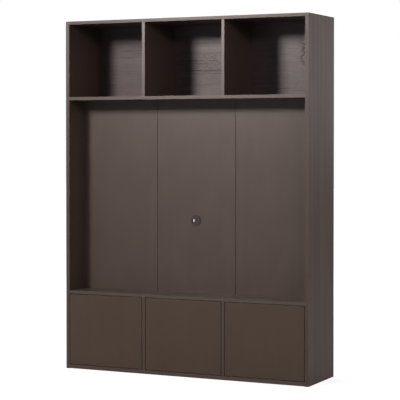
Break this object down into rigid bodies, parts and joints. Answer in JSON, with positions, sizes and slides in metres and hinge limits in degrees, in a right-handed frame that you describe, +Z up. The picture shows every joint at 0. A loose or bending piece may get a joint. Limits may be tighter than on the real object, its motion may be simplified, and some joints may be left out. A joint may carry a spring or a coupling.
{
  "type": "tv cabinet",
  "caption": "Tall television wall cabinet with open upper compartments, a shallow screen niche with a false back, and flush push-to-open doors below.",
  "frame": {"origin": "on the floor, below the middle of the cabinet's bounding box", "axes": "+Z up, the doors and the open compartments face -Y, and +X is on the right of someone who looks at the front"},
  "size_m": [1.65, 0.42, 2.2],
  "materials": {
    "lacquered_wood": "matt dark taupe lacquer over brushed wood grain",
    "thin_board": "matt dark taupe lacquer over brushed wood grain",
    "nickel": "nickel plated",
    "zinc_steel": "zinc plated",
    "brown_plastic": "fine satin"
  },
  "bodies": {
    "cabinet": {"left_side": "lacquered_wood", "right_side": "lacquered_wood", "top_board": "lacquered_wood", "upper_shelf": "lacquered_wood", "niche_deck": "lacquered_wood", "bottom_board": "lacquered_wood", "upper_divider_1": "lacquered_wood", "upper_divider_2": "lacquered_wood", "lower_divider_1": "lacquered_wood", "lower_divider_2": "lacquered_wood", "niche_back_left": "lacquered_wood", "niche_back_middle": "lacquered_wood", "niche_back_right": "lacquered_wood", "upper_back": "thin_board", "lower_back": "thin_board", "niche_rail_top": "thin_board", "niche_rail_middle": "thin_board", "niche_rail_bottom": "thin_board", "cable_grommet": "brown_plastic", "cable_grommet_lid": "brown_plastic", "left_door_lower_hinge_arm": "nickel", "left_door_lower_hinge_plate": "zinc_steel", "left_door_upper_hinge_arm": "nickel", "left_door_upper_hinge_plate": "zinc_steel", "left_latch_housing": "brown_plastic", "middle_door_lower_hinge_arm": "nickel", "middle_door_lower_hinge_plate": "zinc_steel", "middle_door_upper_hinge_arm": "nickel", "middle_door_upper_hinge_plate": "zinc_steel", "middle_latch_housing": "brown_plastic", "right_door_lower_hinge_arm": "nickel", "right_door_lower_hinge_plate": "zinc_steel", "right_door_upper_hinge_arm": "nickel", "right_door_upper_hinge_plate": "zinc_steel", "right_latch_housing": "brown_plastic", "wall_bracket_left": "zinc_steel", "wall_bracket_right": "zinc_steel"},
    "left_door": {"left_door": "lacquered_wood", "left_door_lower_hinge_cup": "nickel", "left_door_lower_hinge_pin": "zinc_steel", "left_door_upper_hinge_cup": "nickel", "left_door_upper_hinge_pin": "zinc_steel", "left_door_striker": "zinc_steel"},
    "left_plunger": {"left_latch_plunger": "brown_plastic"},
    "middle_door": {"middle_door": "lacquered_wood", "middle_door_lower_hinge_cup": "nickel", "middle_door_lower_hinge_pin": "zinc_steel", "middle_door_upper_hinge_cup": "nickel", "middle_door_upper_hinge_pin": "zinc_steel", "middle_door_striker": "zinc_steel"},
    "middle_plunger": {"middle_latch_plunger": "brown_plastic"},
    "right_door": {"right_door": "lacquered_wood", "right_door_lower_hinge_cup": "nickel", "right_door_lower_hinge_pin": "zinc_steel", "right_door_upper_hinge_cup": "nickel", "right_door_upper_hinge_pin": "zinc_steel", "right_door_striker": "zinc_steel"},
    "right_plunger": {"right_latch_plunger": "brown_plastic"}
  },
  "joints": [
    {"name": "left_door_hinge", "type": "hinge", "parent": "cabinet", "child": "left_door", "pos_m": [-0.779, -0.2, 0.2515], "axis": [0, 0, -1], "range_deg": [0, 100]},
    {"name": "left_plunger_slide", "type": "slide", "parent": "cabinet", "child": "left_plunger", "axis": [0, 1, 0], "range_m": [0, 0.003], "stiffness_N_per_m": 300},
    {"name": "middle_door_hinge", "type": "hinge", "parent": "cabinet", "child": "middle_door", "pos_m": [-0.23833, -0.2, 0.2515], "axis": [0, 0, -1], "range_deg": [0, 100]},
    {"name": "middle_plunger_slide", "type": "slide", "parent": "cabinet", "child": "middle_plunger", "axis": [0, 1, 0], "range_m": [0, 0.003], "stiffness_N_per_m": 300},
    {"name": "right_door_hinge", "type": "hinge", "parent": "cabinet", "child": "right_door", "pos_m": [0.779, -0.2, 0.2515], "axis": [0, 0, 1], "range_deg": [0, 100]},
    {"name": "right_plunger_slide", "type": "slide", "parent": "cabinet", "child": "right_plunger", "axis": [0, 1, 0], "range_m": [0, 0.003], "stiffness_N_per_m": 300}
  ]
}
